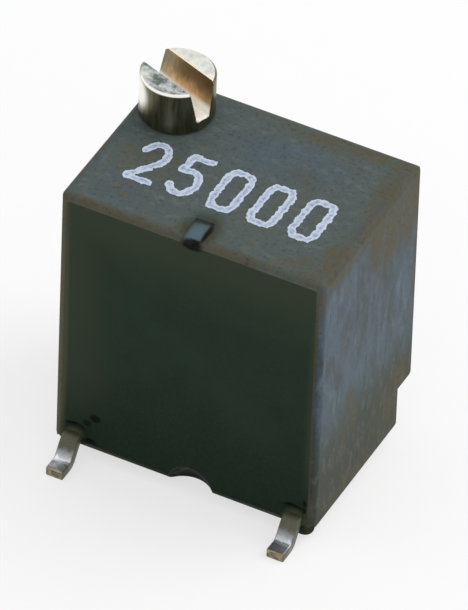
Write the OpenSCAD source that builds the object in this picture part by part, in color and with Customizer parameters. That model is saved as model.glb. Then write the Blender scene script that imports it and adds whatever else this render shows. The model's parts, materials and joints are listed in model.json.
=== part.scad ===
// Sealed multi-turn trimmer potentiometer for surface mounting, driven by a worm and wheel.
// The front is -Y, the right side is +X and up is +Z.
// The origin is on the board, under the middle of the case.

/* [Case] */
// Width of the case, left to right
body_w = 6.7; // [6.4:0.1:8.2]
// Depth of the case, front to rear
body_d = 4.9; // [4.6:0.1:6.2]
// Height of the case
body_h = 7.4; // [7.2:0.1:9]
// Gap between the case and the board
standoff = 0.3; // [0.12:0.02:0.4]
// Radius of the moulded outer edges
edge_r = 0.2; // [0.1:0.02:0.26]
// Width of the rim round the resin at the front
front_rim = 0.18; // [0.15:0.01:0.3]
// Depth of the shallow tray inside that rim
tray_depth = 0.2; // [0.1:0.02:0.3]
// Thickness of the side walls
side_wall = 0.45; // [0.35:0.05:0.6]
// Thickness of the top wall
top_wall = 0.65; // [0.5:0.05:0.9]
// Thickness of the floor under the element
floor_t = 0.72; // [0.66:0.02:1]
// Thickness of the rear wall behind the rotor
rear_wall = 0.6; // [0.4:0.05:0.7]
// Height of the step along the rear underside
step_h = 1.08; // [0.7:0.02:1.3]
// Depth of the step along the rear underside
step_d = 0.65; // [0.4:0.05:0.9]

/* [Scoops] */
// Width of the flat floor of the scoop in the top front edge
top_scoop_w = 0.38; // [0.3:0.02:0.8]
// Length of that floor
top_scoop_l = 0.85; // [0.4:0.05:1]
// Depth of that floor at the front
top_scoop_depth = 0.14; // [0.1:0.01:0.2]
// Depth of the notch in front of that floor
top_notch_depth = 0.2; // [0.15:0.01:0.3]
// Place of the top scoop, left or right of the middle
top_scoop_x = -0.09; // [-0.3:0.01:0.3]
// Radius of the ball that shapes the scoop under the front
low_scoop_r = 0.66; // [0.5:0.02:0.68]
// Distance of that ball's centre in front of the case
low_scoop_out = 0.3; // [0.1:0.02:0.4]
// Place of the lower scoop, right of the middle
low_scoop_x = 0.17; // [-0.4:0.01:0.4]

/* [Adjusting screw] */
// Distance of the screw's axis from the left side
screw_side_inset = 0.98; // [0.9:0.02:1.2]
// Distance of the screw's axis from the rear
screw_rear_inset = 1.1; // [1.0:0.02:1.3]
// Radius of the slotted head
head_r = 0.88; // [0.7:0.02:0.95]
// Height of the slotted head
head_h = 1.14; // [0.8:0.02:1.4]
// Width of the bright chamfer round the head's rim
head_chamfer = 0.05; // [0.02:0.01:0.1]
// Width of the screwdriver slot at its mouth
slot_w = 0.72; // [0.5:0.02:0.8]
// Width of the screwdriver slot at its floor
slot_floor_w = 0.36; // [0.3:0.02:0.5]
// Depth of the screwdriver slot
slot_depth = 0.87; // [0.5:0.02:0.95]
// Direction of the slot at rest, from the X axis
slot_angle = -20; // [-90:1:90]
// Radius of the shank and of the worm's crests
shank_r = 0.5; // [0.46:0.01:0.54]
// Radius of the neck inside the seal
neck_r = 0.38; // [0.34:0.01:0.42]
// Radius of the lower journal
journal_r = 0.24; // [0.2:0.01:0.25]
// Length of the lower journal
journal_l = 0.5; // [0.3:0.05:0.7]
// Gap between the head and the case
head_gap = 0.04; // [0.02:0.01:0.1]

/* [Worm and wheel] */
// Number of teeth on the wheel
teeth = 15; // [13:1:18]
// Length of the worm
worm_l = 2.4; // [2:0.1:2.6]
// Height of the teeth above the pitch line
addendum = 0.1; // [0.08:0.01:0.12]
// Depth of the teeth below the pitch line
dedendum = 0.13; // [0.11:0.01:0.15]
// Play between the flanks, measured along the pitch line
backlash = 0.04; // [0.02:0.01:0.06]
// Pressure angle of the teeth
pressure_angle = 20; // [15:1:25]
// Width of the toothed rim
rim_w = 0.8; // [0.6:0.05:0.9]
// Radius of the rotor's drum
drum_r = 1.6; // [1.4:0.05:1.7]
// Radius of the housing's spindle
spindle_r = 0.42; // [0.35:0.01:0.5]
// Clearance of every turning fit
running_gap = 0.03; // [0.02:0.005:0.05]

/* [Element and contact] */
// Depth of the sealing resin in front of the element
potting_t = 1.0; // [0.8:0.05:1.2]
// Thickness of the ceramic plate
element_t = 0.55; // [0.4:0.05:0.7]
// Thickness of the printed tracks
track_t = 0.04; // [0.03:0.01:0.06]
// Middle radius of the resistive track
track_r = 1.62; // [1.5:0.02:1.7]
// Width of the resistive track
track_w = 0.45; // [0.3:0.05:0.5]
// Middle radius of the collector ring
collector_r = 0.75; // [0.7:0.01:0.85]
// Width of the collector ring
collector_w = 0.35; // [0.25:0.05:0.4]
// Reach of the resistive track to each side of the top
track_angle = 150; // [148:1:154]
// Height of the bent contact between rotor and tracks
wiper_h = 0.56; // [0.45:0.01:0.65]
// Thickness of the contact's strip
wiper_t = 0.08; // [0.05:0.01:0.1]

/* [Leads] */
// Width of each lead
lead_w = 0.44; // [0.34:0.02:0.5]
// Thickness of each lead
lead_t = 0.24; // [0.18:0.02:0.28]
// Distance of an outer lead's middle from the side of the case
lead_inset = 0.51; // [0.47:0.01:0.6]
// Height of a lead's middle above the case's underside, where it leaves
lead_rise = 0.28; // [0.24:0.01:0.36]
// Reach of each foot beyond the case's face
foot_reach = 0.93; // [0.6:0.05:1.2]
// Inner radius of the bends
bend_r = 0.08; // [0.03:0.01:0.1]
// Slope of the lead between its bends
lead_slope = 68; // [55:1:80]
// Thickness of the clip round the element's edge
clip_t = 0.14; // [0.1:0.01:0.16]

/* [Hidden] */
$fn = 64;
eps = 0.05;
// Overlap that joins a lead's bends to its straight lengths
lap = 0.003;

// Levels of the case
case_top = standoff + body_h;
front_y = -body_d / 2;
rear_y = body_d / 2;
well_floor = standoff + floor_t;
well_roof = case_top - top_wall;
well_w = body_w - 2 * side_wall;
well_r = 0.2;

// Element plate, standing on the lead clips at the back of the well
element_gap = 0.1;
clip_room = 0.3;
element_w = well_w - 2 * element_gap;
element_bottom = well_floor + clip_room;
element_h = well_roof - element_gap - element_bottom;
element_front = front_y + potting_t;
element_rear = element_front + element_t;
seat_y = element_rear + track_t;
potting_recess = 0.025;

// Scoops of the front face
scoop_heel = 0.08;
// Sideways run of the leaning side for each millimetre of its height
scoop_lean = 1.2;
notch_l = 0.13;

// Screw and wheel
screw_x = -body_w / 2 + screw_side_inset;
screw_y = rear_y - screw_rear_inset;
axis_z = element_bottom + element_h / 2;
worm_pitch_r = shank_r - addendum;
worm_root_r = worm_pitch_r - dedendum;
wheel_pitch_r = -screw_x - worm_pitch_r;
wheel_tip_r = wheel_pitch_r + addendum;
wheel_root_r = wheel_pitch_r - dedendum;
wheel_base_r = wheel_pitch_r * cos(pressure_angle);
lead_pitch = 2 * PI * wheel_pitch_r / teeth;
helix_slope = lead_pitch / (2 * PI * worm_pitch_r);
rim_twist = rim_w * helix_slope / wheel_pitch_r * 180 / PI;
worm_bottom = axis_z - worm_l / 2;
worm_top = axis_z + worm_l / 2;
thread_relief = 0.15;
pocket_r = wheel_tip_r + 0.08;
pocket_y = rear_y - rear_wall;

// Seal and retainer
seal_cord = 0.27;
seal_room = 0.45;
seal_touch = 0.01;
seal_floor = case_top - seal_room;
seat_r = neck_r + seal_cord + 2 * seal_touch;
retainer_t = 0.22;
retainer_z = case_top - 1.3;
groove_r = 0.34;
retainer_grip = 0.08;
retainer_half = shank_r + running_gap + retainer_grip;
retainer_gap = 0.015;

// Rotor, from its front face to the rear of its toothed rim
rotor_front = seat_y + wiper_h;
rim_front = screw_y - rim_w / 2;
rim_rear = screw_y + rim_w / 2;
spindle_tip = rotor_front + 0.45;
rotor_bore_end = spindle_tip - 0.06;
stake_x = 0.85;
stake_r = 0.11;
stake_head = 0.05;
wiper_rest = -6;
wiper_half = 0.25;
wiper_gap = 0.03;

// Leads
lead_x = body_w / 2 - lead_inset;
lead_z = standoff + lead_rise;
lead_out = 0.02;
bend_mid = bend_r + lead_t / 2;
lead_drop = lead_z - lead_t / 2;
slope_l = (lead_drop - 2 * bend_mid * (1 - cos(lead_slope))) / sin(lead_slope);
slot_gap = 0.02;
slot_room = 0.16;
hollow_depth = 0.3;
plate_inset = 0.1;
plate_up = 0.75;
finger_up = 0.45;
pad_r_out = track_r + track_w / 2;
pad_r_in = track_r - track_w / 2;

// Rectangle with round corners, about the middle
module round_rect(w, h, r) {
    square([w - 2 * r, h], center = true);
    square([w, h - 2 * r], center = true);
    for (sx = [-1, 1], sy = [-1, 1])
        translate([sx * (w / 2 - r), sy * (h / 2 - r)]) circle(r);
}

// Block with every edge rounded, standing on z = 0
module round_block(w, d, h, r) {
    intersection() {
        linear_extrude(h) round_rect(w, d, r);
        translate([0, 0, h / 2]) rotate([90, 0, 0])
            linear_extrude(d, center = true) round_rect(w, h, r);
        translate([0, 0, h / 2]) rotate([90, 0, 90])
            linear_extrude(w, center = true) round_rect(d, h, r);
    }
}

// What rounds off a square corner at the origin whose material lies towards -x and +y
module corner_cut(r) {
    translate([-r, 0]) difference() {
        translate([0, -eps]) square([r + eps, r + eps]);
        translate([0, r]) circle(r);
        translate([-1, -1]) square([1, 2]);
        translate([-1, r]) square([3, 1]);
    }
}

// Draws in the plane of the wheel: x is right, y is up from its axis, z goes to the front
module on_axis() {
    translate([0, 0, axis_z]) rotate([90, 0, 0]) children();
}

// Cylinder along Y from y0 to y1
module along_y(x, z, r, y0, y1) {
    translate([x, y1, z]) rotate([90, 0, 0]) cylinder(r = r, h = y1 - y0);
}

// Profile of the step under the rear, in the YZ plane, with its two outer edges rounded
module step_profile() {
    translate([rear_y - step_d, -eps]) square([step_d + 1, standoff + step_h + eps]);
    translate([rear_y, standoff + step_h]) corner_cut(edge_r);
    translate([rear_y - step_d, standoff]) corner_cut(edge_r);
}

// Moulded outer form with its step and both scoops
module case_form() {
    difference() {
        translate([0, 0, standoff]) round_block(body_w, body_d, body_h, edge_r);
        rotate([90, 0, 90]) linear_extrude(body_w + 2, center = true) step_profile();
        scoops();
    }
}

// Flat-floored scoop with one leaning side, and the notch in front of it
module top_scoop() {
    half = top_scoop_w / 2;
    fall = atan((top_scoop_depth - scoop_heel) / top_scoop_l);
    translate([top_scoop_x, front_y + top_scoop_l, case_top - scoop_heel]) rotate([90 + fall, 0, 0])
        linear_extrude(2 * top_scoop_l) polygon([[-half, 0], [half, 0], [half + scoop_lean, 1], [-half, 1]]);
    translate([top_scoop_x, front_y + notch_l, case_top]) rotate([90, 0, 0]) linear_extrude(1)
        polygon([[-half, 1], [-half, -scoop_heel], [half / 2, -top_notch_depth],
                 [half, -top_scoop_depth], [half + scoop_lean, 1]]);
}

// Both scoops of the front face
module scoops() {
    translate([low_scoop_x, front_y - low_scoop_out, standoff]) sphere(low_scoop_r);
    top_scoop();
}

// Inside of the front rim, from the back of its tray to the given distance before the front face
module tray(out) {
    translate([0, front_y + tray_depth, standoff + body_h / 2]) rotate([90, 0, 0])
        linear_extrude(tray_depth + out) round_rect(body_w - 2 * front_rim, body_h - 2 * front_rim, well_r);
}

// Stepped bore for the screw: journal, worm and shank, and the seat of its seal
module screw_bores() {
    translate([screw_x, screw_y, 0]) {
        translate([0, 0, worm_bottom - journal_l - 2 * running_gap])
            cylinder(r = journal_r + running_gap, h = case_top);
        translate([0, 0, worm_bottom - running_gap])
            cylinder(r = shank_r + running_gap, h = case_top);
        translate([0, 0, seal_floor]) cylinder(r = seat_r, h = seal_room + 1);
    }
}

// Slot that takes the forked retainer, open to the well
module retainer_slot() {
    half = retainer_half + retainer_gap;
    high = retainer_t + 2 * retainer_gap;
    translate([screw_x - half, seat_y - eps, retainer_z - high / 2])
        cube([2 * half, screw_y + 0.5 - seat_y + eps, high]);
}

// Gap in the front rim for an outer lead, from its underside up into the well
module lead_slot(side) {
    w = lead_w + 2 * slot_gap;
    low = lead_z - lead_t / 2 - slot_gap;
    translate([side * lead_x - w / 2, front_y - 1, low])
        cube([w, element_front - front_y + 1, well_floor + eps - low]);
    clip_relief(side * clip_x(side));
}

// Room for the clip's plate below the well's floor and for its finger behind the element
module clip_relief(x) {
    w = plate_w() + 2 * slot_gap;
    low = lead_z - lead_t / 2 - slot_gap;
    translate([x - w / 2, element_front - lead_t - slot_gap, low])
        cube([w, lead_t + slot_gap, well_floor - low + eps]);
    translate([x - w / 2, seat_y - eps, well_floor])
        cube([w, clip_t + slot_gap + eps, clip_room + finger_up + slot_gap]);
}

// Tunnel under the well for the rear lead
module rear_tunnel() {
    w = lead_w + 2 * slot_gap;
    h = lead_t + 2 * slot_gap;
    translate([-w / 2, element_front - lead_t - slot_gap, lead_z - h / 2])
        cube([w, rear_y - element_front + 1, h]);
    clip_relief(0);
}

// Moulded shell, open at the front
module housing() {
    color([0.33, 0.34, 0.29]) {
        difference() {
            case_form();
            translate([0, seat_y, (well_floor + well_roof) / 2]) rotate([90, 0, 0])
                linear_extrude(seat_y - front_y + 1) round_rect(well_w, well_roof - well_floor, well_r);
            tray(1);
            along_y(0, axis_z, pocket_r, seat_y - eps, pocket_y);
            screw_bores();
            retainer_slot();
            lead_slot(-1);
            lead_slot(1);
            rear_tunnel();
        }
        along_y(0, axis_z, spindle_r, spindle_tip, pocket_y + eps);
        along_y(0, axis_z, 2 * spindle_r, rim_rear + running_gap, pocket_y + eps);
    }
}

// Resin that fills the front tray, and the well round the element and the lead clips
module front_potting() {
    color([0.14, 0.24, 0.19]) difference() {
        union() {
            tray(-potting_recess);
            translate([0, element_rear, (well_floor + well_roof) / 2]) rotate([90, 0, 0])
                linear_extrude(element_rear - front_y - tray_depth + eps)
                    round_rect(well_w, well_roof - well_floor, well_r);
            for (side = [-1, 1]) slot_plug(side);
        }
        for (side = [-1, 1]) lead_hollow(side);
        scoops();
        element_block();
        for (n = [1, 2, 3]) {
            lead_metal(n);
            solder_form(n);
        }
    }
}

// Resin in the gap above an outer lead, behind the tray
module slot_plug(side) {
    w = lead_w + 2 * slot_gap;
    low = lead_z + lead_t / 2;
    translate([side * lead_x - w / 2, front_y + tray_depth - eps, low])
        cube([w, potting_t - tray_depth + eps, well_floor + eps - low]);
}

// Small hollow left in the resin over an outer lead
module lead_hollow(side) {
    w = lead_w + 2 * slot_gap;
    translate([side * lead_x - w / 2, front_y - 1, lead_z])
        cube([w, hollow_depth + 1, lead_t / 2 + slot_room]);
}

// Outline of the ceramic plate
module element_block() {
    translate([-element_w / 2, element_front, element_bottom]) cube([element_w, element_t, element_h]);
}

module element_substrate() {
    color([0.9, 0.89, 0.85]) element_block();
}

// Wedge from the axis between two angles measured from the top, clockwise from the front
module wedge(a0, a1, reach) {
    steps = 8;
    polygon([[0, 0], for (i = [0:steps]) let (a = a0 + (a1 - a0) * i / steps) reach * [sin(a), cos(a)]]);
}

// Flat ring between two radii
module ring(r0, r1) {
    difference() {
        circle(r1);
        circle(r0);
    }
}

// One printed layer on the element's rear face
module printed() {
    on_axis() translate([0, 0, -seat_y]) linear_extrude(track_t) children();
}

// Horseshoe of resistive ink, open at the bottom
module horseshoe() {
    difference() {
        ring(pad_r_in, pad_r_out);
        wedge(track_angle, 360 - track_angle, 2 * track_r);
    }
}

module resistive_track() {
    color([0.13, 0.13, 0.14]) printed() horseshoe();
}

// Conductor from one end of the horseshoe to the clip of its lead
module end_pad(side) {
    pad_end = 12;
    arm_top = -(pad_r_out * cos(180 - track_angle) + 0.03);
    arm_w = 0.35;
    foot = -element_h / 2;
    color([0.78, 0.77, 0.72]) printed() {
        intersection() {
            ring(pad_r_in, pad_r_out);
            wedge(side * track_angle, side * (track_angle + pad_end), 2 * track_r);
        }
        difference() {
            union() {
                translate([side > 0 ? 0.8 : -clip_x(1) - plate_w() / 2, arm_top - arm_w])
                    square([clip_x(1) + plate_w() / 2 - 0.8, arm_w]);
                translate([side * clip_x(1) - plate_w() / 2, foot])
                    square([plate_w(), arm_top - foot]);
            }
            circle(pad_r_out);
        }
    }
}

module end_pad_1() { end_pad(-1); }
module end_pad_3() { end_pad(1); }

// Ring under the middle fingers and its run to the third lead
module collector_track() {
    stem_w = 0.5;
    color([0.78, 0.77, 0.72]) printed() {
        ring(collector_r - collector_w / 2, collector_r + collector_w / 2);
        difference() {
            translate([-stem_w / 2, -element_h / 2]) square([stem_w, element_h / 2]);
            circle(collector_r);
        }
    }
}

// Arc of the lead's profile about the origin, from angle a0 to a1
module bend(a0, a1) {
    intersection() {
        ring(bend_r, bend_r + lead_t);
        polygon([[0, 0], for (i = [0:4]) let (a = a0 + (a1 - a0) * i / 4) 2 * lead_t * [cos(a), sin(a)]]);
    }
}

// Side profile of a gull-wing lead: x is outward from the case's face, y is up from the board
module gull_profile(inner) {
    s = lead_slope;
    translate([-inner, lead_z - lead_t / 2]) square([inner + lead_out + lap, lead_t]);
    translate([lead_out, lead_z - bend_mid]) bend(90, 90 - s);
    knee = [lead_out + bend_mid * sin(s), lead_z - bend_mid * (1 - cos(s))];
    translate(knee) rotate(-s) translate([-lap, -lead_t / 2]) square([slope_l + 2 * lap, lead_t]);
    heel = [knee[0] + slope_l * cos(s) + bend_mid * sin(s), lead_t / 2 + bend_mid];
    translate(heel) bend(270 - s, 270);
    translate([heel[0] - lap, 0]) square([foot_reach - heel[0] + lap, lead_t]);
}

// Width of a clip's plate, and the place of its middle for the outer leads
function plate_w() = lead_w;
function clip_x(side) = well_w / 2 - plate_inset - plate_w() / 2;
function clip_place(n) = (n - 2) * clip_x(n);
function lead_place(n) = (n - 2) * lead_x;

// Clip round the element's lower edge: plate in front, web below and finger behind
module clip(x) {
    w = plate_w();
    low = lead_z - lead_t / 2;
    translate([x - w / 2, element_front - lead_t, low]) cube([w, lead_t, element_bottom + plate_up - low]);
    translate([x - w / 2, element_front, element_bottom - clip_t])
        cube([w, seat_y + clip_t - element_front, clip_t]);
    translate([x - w / 2, seat_y, element_bottom - clip_t]) cube([w, clip_t, clip_t + finger_up]);
}

// Whole lead: clip, run through the case and gull wing. 1 and 3 leave at the front and 2 at the rear
module lead_metal(n) {
    inner = n == 2 ? rear_y - element_front + lead_t : element_front - front_y;
    clip(clip_place(n));
    translate([lead_place(n), 0, 0]) mirror([0, n == 2 ? 0 : 1, 0]) translate([0, rear_y, 0])
        rotate([90, 0, 90]) linear_extrude(lead_w, center = true) gull_profile(inner);
}

module terminal(n) {
    color([0.8, 0.81, 0.82]) lead_metal(n);
}

module terminal_1() { terminal(1); }
module terminal_2() { terminal(2); }
module terminal_3() { terminal(3); }

// Hollow solder fillet above the clip's plate, against the element
module solder_form(n) {
    translate([clip_place(n), element_front, element_bottom + plate_up])
        rotate([90, 0, 90]) linear_extrude(plate_w(), center = true) mirror([1, 0]) difference() {
            square([lead_t, lead_t]);
            translate([lead_t * 1.02, lead_t * 1.02]) circle(lead_t * 0.98);
        }
}

module solder_joint(n) {
    color([0.72, 0.73, 0.74]) solder_form(n);
}

module solder_joint_1() { solder_joint(1); }
module solder_joint_2() { solder_joint(2); }
module solder_joint_3() { solder_joint(3); }

// Rubber ring between the screw's neck and its seat
module screw_seal() {
    color([0.35, 0.1, 0.08])
        translate([screw_x, screw_y, seal_floor + seal_cord / 2 + seal_touch])
            rotate_extrude() translate([neck_r + seal_touch + seal_cord / 2, 0]) circle(seal_cord / 2);
}

// Forked plate whose arms stand in the screw's groove
module screw_retainer() {
    fork_r = groove_r + running_gap;
    color([0.75, 0.74, 0.7]) translate([0, 0, retainer_z - retainer_t / 2]) linear_extrude(retainer_t)
        difference() {
            translate([screw_x - retainer_half, seat_y + 0.05])
                square([2 * retainer_half, screw_y + 0.45 - seat_y - 0.05]);
            translate([screw_x, screw_y]) circle(fork_r);
            translate([screw_x - fork_r, screw_y]) square([2 * fork_r, 1]);
        }
}

// Section of the worm across its axis: one crest, two flanks and the root
function half_thread(r) = lead_pitch / 4 - backlash / 4 - (r - worm_pitch_r) * tan(pressure_angle);
function half_angle(r) = 360 * half_thread(r) / lead_pitch;
function worm_section() = let (
        crest = half_angle(shank_r),
        root = half_angle(worm_root_r),
        n = 10)
    [for (i = [0:n]) let (a = -crest + 2 * crest * i / n) shank_r * [cos(a), sin(a)],
     for (i = [1:2]) let (a = crest + (root - crest) * i / 3, r = shank_r + (worm_root_r - shank_r) * i / 3)
        r * [cos(a), sin(a)],
     for (i = [0:n]) let (a = root + (360 - 2 * root) * i / n) worm_root_r * [cos(a), sin(a)],
     for (i = [2:-1:1])
        let (a = crest + (root - crest) * i / 3, r = shank_r + (worm_root_r - shank_r) * i / 3)
        r * [cos(a), -sin(a)]];

// Right-handed worm whose crest faces the wheel at the height of the wheel's axis
module worm() {
    turns = worm_l / lead_pitch;
    translate([0, 0, worm_bottom]) rotate(-180 * turns)
        linear_extrude(worm_l, twist = -360 * turns, slices = ceil(14 * turns),
                       segments = len(worm_section()))
            polygon(worm_section());
}

// Section of the screwdriver slot, from its round-cornered floor up past the head's top
function slot_section() = let (
        lean = atan((slot_w - slot_floor_w) / 2 / slot_depth),
        r = 0.12,
        x = slot_floor_w / 2 - r / tan(45 + lean / 2),
        corner = [for (i = [0:4]) let (a = -90 + (90 - lean) * i / 4)
            [x + r * cos(a), r - slot_depth + r * sin(a)]])
    [for (p = corner) p, [slot_w / 2, 0], [slot_w / 2, 1], [-slot_w / 2, 1], [-slot_w / 2, 0],
     for (i = [4:-1:0]) [-corner[i][0], corner[i][1]]];

// Turned screw: slotted head, neck, grooved shank, worm and journal
module adjustment_screw() {
    head_bottom = case_top + head_gap;
    head_top = head_bottom + head_h;
    shank_top = seal_floor - running_gap;
    color([0.74, 0.71, 0.6]) translate([screw_x, screw_y, 0]) {
        difference() {
            union() {
                translate([0, 0, head_bottom]) cylinder(r = head_r, h = head_h - head_chamfer);
                translate([0, 0, head_top - head_chamfer])
                    cylinder(r1 = head_r, r2 = head_r - head_chamfer, h = head_chamfer);
            }
            translate([0, 0, head_top]) rotate([90, 0, 90 + slot_angle])
                linear_extrude(4, center = true) polygon(slot_section());
        }
        translate([0, 0, shank_top - eps]) cylinder(r = neck_r, h = head_bottom - shank_top + 2 * eps);
        difference() {
            translate([0, 0, worm_top + thread_relief])
                cylinder(r = shank_r, h = shank_top - worm_top - thread_relief);
            translate([0, 0, retainer_z - retainer_t / 2 - retainer_gap])
                linear_extrude(retainer_t + 2 * retainer_gap) ring(groove_r, 2 * shank_r);
        }
        worm();
        translate([0, 0, worm_bottom - journal_l])
            cylinder(r = journal_r, h = journal_l + worm_l + thread_relief + eps);
    }
}

// Half angle of a wheel tooth at radius r, on an involute of the base circle
function involute(a) = tan(a) * 180 / PI - a;
function tooth_angle(r) = 90 / teeth * (1 - backlash / lead_pitch) + involute(pressure_angle)
    - involute(acos(min(1, wheel_base_r / r)));
function wheel_outline() = let (n = 4, low = max(wheel_root_r, wheel_base_r))
    [for (k = [0:teeth - 1]) let (mid = 360 * k / teeth) each [
        [wheel_root_r, mid - tooth_angle(low) - 1],
        for (i = [0:n]) let (r = low + (wheel_tip_r - low) * i / n) [r, mid - tooth_angle(r)],
        for (i = [n:-1:0]) let (r = low + (wheel_tip_r - low) * i / n) [r, mid + tooth_angle(r)],
        [wheel_root_r, mid + tooth_angle(low) + 1]]];

// Toothed rim, cut at the helix of the worm
module wheel_rim() {
    on_axis() translate([0, 0, -rim_rear]) rotate(-rim_twist / 2)
        linear_extrude(rim_w, twist = -rim_twist, slices = 4)
            polygon([for (p = wheel_outline()) p[0] * [cos(p[1]), sin(p[1])]]);
}

// Moulded worm wheel and drum, hollowed from the rear, with two stakes for the contact
module rotor_gear() {
    hub_r = 0.8;
    dish_r = 1.35;
    dish_end = rotor_front + 0.5;
    color([0.86, 0.84, 0.76]) {
        difference() {
            union() {
                wheel_rim();
                along_y(0, axis_z, drum_r, rotor_front, rim_front + 0.2);
            }
            along_y(0, axis_z, spindle_r + running_gap, rotor_bore_end, rim_rear + 1);
            difference() {
                along_y(0, axis_z, dish_r, dish_end, rim_rear + 1);
                along_y(0, axis_z, hub_r, dish_end - 1, rim_rear + 2);
            }
        }
        on_axis() rotate(wiper_rest) for (side = [-1, 1]) translate([side * stake_x, 0, -rotor_front]) {
            translate([0, 0, -eps]) cylinder(r = stake_r, h = wiper_t + stake_head + eps);
            translate([0, 0, wiper_t]) cylinder(r = 1.5 * stake_r, h = stake_head);
        }
    }
}

// Bent finger that rises from the plate's edge to its contact point at the given reach
module finger(reach, w) {
    tip = wiper_h - wiper_gap - wiper_t;
    crown = 0.05;
    run = [[wiper_half - 0.05, 0], [wiper_half + 0.05, 0], [reach - 2 * crown, tip - 0.03],
           [reach - crown, tip], [reach + crown, tip], [reach + 2.5 * crown, tip - 0.05]];
    n = len(run) - 1;
    rotate([90, 0, 90]) linear_extrude(w, center = true)
        polygon([for (p = run) p, for (i = [n:-1:0]) run[i] + [0, wiper_t]]);
}

// Stamped contact: plate with two holes, three fingers up to the track and two down to the ring
module wiper_spring() {
    finger_w = 0.12;
    finger_pitch = 0.17;
    color([0.8, 0.66, 0.36]) on_axis() rotate(wiper_rest) translate([0, 0, -rotor_front]) {
        linear_extrude(wiper_t) difference() {
            square([2 * (stake_x + wiper_half), 2 * wiper_half], center = true);
            for (side = [-1, 1]) translate([side * stake_x, 0]) circle(stake_r + 0.01);
        }
        for (i = [-1:1]) translate([i * finger_pitch, 0, 0]) finger(track_r, finger_w);
        for (i = [-0.5, 0.5]) translate([i * finger_pitch, 0, 0]) rotate(180) finger(collector_r, finger_w);
    }
}

housing();
front_potting();
element_substrate();
resistive_track();
end_pad_1();
end_pad_3();
collector_track();
terminal_1();
terminal_2();
terminal_3();
solder_joint_1();
solder_joint_2();
solder_joint_3();
screw_seal();
screw_retainer();
adjustment_screw();
rotor_gear();
wiper_spring();
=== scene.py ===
import json
import math
from functools import partial

import bmesh
import bpy
from mathutils import Matrix, Vector, noise


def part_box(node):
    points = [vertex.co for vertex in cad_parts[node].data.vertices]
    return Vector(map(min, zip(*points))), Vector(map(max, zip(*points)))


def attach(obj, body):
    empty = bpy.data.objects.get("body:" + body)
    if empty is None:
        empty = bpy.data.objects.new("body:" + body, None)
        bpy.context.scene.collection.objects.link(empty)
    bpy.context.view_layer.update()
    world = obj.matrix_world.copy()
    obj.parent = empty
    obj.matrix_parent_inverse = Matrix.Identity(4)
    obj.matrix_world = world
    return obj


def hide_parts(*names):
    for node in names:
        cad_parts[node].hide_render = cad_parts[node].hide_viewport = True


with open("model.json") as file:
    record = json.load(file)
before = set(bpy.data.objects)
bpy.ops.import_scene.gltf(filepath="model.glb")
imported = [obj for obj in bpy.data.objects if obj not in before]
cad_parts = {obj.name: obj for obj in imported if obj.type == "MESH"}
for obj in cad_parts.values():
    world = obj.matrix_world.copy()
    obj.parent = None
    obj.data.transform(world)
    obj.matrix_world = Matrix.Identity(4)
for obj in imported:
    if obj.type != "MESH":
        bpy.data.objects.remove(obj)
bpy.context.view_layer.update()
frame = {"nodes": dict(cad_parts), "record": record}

mm = 0.001
past, lap = 1.0, 0.05   # tools stand out by the first, and run into solids by the second
print("frame loaded:", len(frame["nodes"]), "nodes")


def linearColor(hexText):
    # sRGB hex to the linear values that shaders work in
    parts = [int(hexText[i:i + 2], 16) / 255 for i in (1, 3, 5)]
    return [c / 12.92 if c <= 0.04045 else ((c + 0.055) / 1.055) ** 2.4 for c in parts] + [1.0]


def cadSpan(node):
    # lowest and highest corner of a CAD node, in millimetres
    low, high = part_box(node)
    return low / mm, high / mm


def arc(cx, cy, r, fromDeg, toDeg, steps):
    turns = [math.radians(fromDeg + (toDeg - fromDeg) * i / steps) for i in range(steps + 1)]
    return [(cx + r * math.cos(t), cy + r * math.sin(t)) for t in turns]


def disc(r, cy, steps=64):
    return arc(0, cy, r, 0, 360, steps)[:-1]


def roundRect(w, h, r, cy, steps=8):
    corners = ((1, 1, 0), (-1, 1, 90), (-1, -1, 180), (1, -1, 270))
    return [p for sx, sy, start in corners
            for p in arc(sx * (w / 2 - r), cy + sy * (h / 2 - r), r, start, start + 90, steps)]


def meshObject(name, bm):
    mesh = bpy.data.meshes.new(name)
    bm.to_mesh(mesh)
    bm.free()
    obj = bpy.data.objects.new(name, mesh)
    bpy.context.scene.collection.objects.link(obj)
    return obj


def prism(name, outline, low, high, axis):
    # an outline drawn across one axis, made solid from low to high along it
    order = {"x": (2, 0, 1), "y": (0, 2, 1), "z": (0, 1, 2)}[axis]
    bm = bmesh.new()
    ends = [[bm.verts.new(Vector([(u, v, w)[i] for i in order]) * mm) for u, v in outline]
            for w in (low, high)]
    bm.faces.new(ends[0])
    bm.faces.new(reversed(ends[1]))
    for i in range(len(outline)):
        bm.faces.new((ends[0][i - 1], ends[0][i], ends[1][i], ends[1][i - 1]))
    bmesh.ops.recalc_face_normals(bm, faces=bm.faces)
    return meshObject(name, bm)


def block(name, x0, x1, y0, y1, z0, z1):
    return prism(name, [(x0, y0), (x1, y0), (x1, y1), (x0, y1)], z0, z1, "z")


def turned(name, rows, center, columns):
    # a turned form: each row is (z, radius), or (z, function of the angle) along the thread
    bm = bmesh.new()
    rings = []
    for z, r in rows:
        ring = []
        for k in range(columns):
            a = 2 * math.pi * k / columns
            reach = r(a) if callable(r) else r
            spot = Vector((center.x + reach * math.cos(a), center.y + reach * math.sin(a), z))
            ring.append(bm.verts.new(spot * mm))
        rings.append(ring)
    for low, high in zip(rings, rings[1:]):
        for k in range(columns):
            bm.faces.new((low[k - 1], low[k], high[k], high[k - 1]))
    bm.faces.new(reversed(rings[0]))
    bm.faces.new(rings[-1])
    return meshObject(name, bm)


def ball(name, center, radii):
    bm = bmesh.new()
    bmesh.ops.create_icosphere(bm, subdivisions=5, radius=mm)
    bmesh.ops.scale(bm, verts=bm.verts, vec=radii)
    bmesh.ops.translate(bm, verts=bm.verts, vec=Vector(center) * mm)
    return meshObject(name, bm)


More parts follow.
